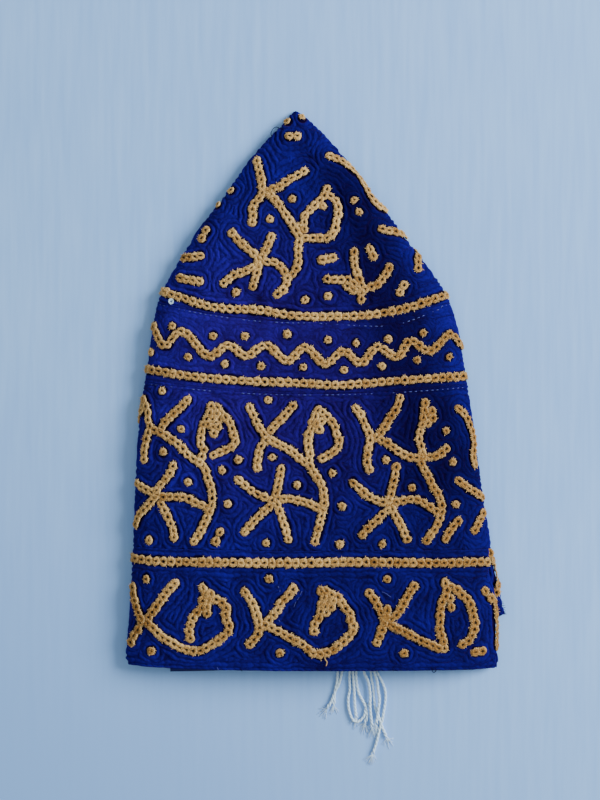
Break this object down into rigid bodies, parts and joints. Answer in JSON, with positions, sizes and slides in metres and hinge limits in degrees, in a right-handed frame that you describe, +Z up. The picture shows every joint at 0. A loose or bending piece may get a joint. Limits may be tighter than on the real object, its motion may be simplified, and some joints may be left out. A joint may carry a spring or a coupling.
{
  "type": "prayer cap",
  "caption": "Tall pointed cloth cap lying flat: stitched crown, zigzag band and tall band, front and back hem flaps parted by side slits, and a few loose threads at the mouth.",
  "frame": {"origin": "on the flat underside of the tall band, at the table mount", "axes": "+Y towards the cap's tip, +Z up from the table, +X to the right seen from above with the tip away"},
  "size_m": [0.2768, 0.4708, 0.0249],
  "materials": {
    "blue_cloth": "matt deep blue yarn in dense rows of chain stitch",
    "gold_yarn": "matt golden yellow yarn in thick chain stitch",
    "white_cotton": "matt off-white twisted cotton thread"
  },
  "bodies": {
    "root": {"crown": "blue_cloth", "zigzag_band": "blue_cloth", "tall_band": "blue_cloth", "front_flap": "blue_cloth", "back_flap": "blue_cloth", "thread_tassel": "white_cotton"}
  },
  "joints": []
}
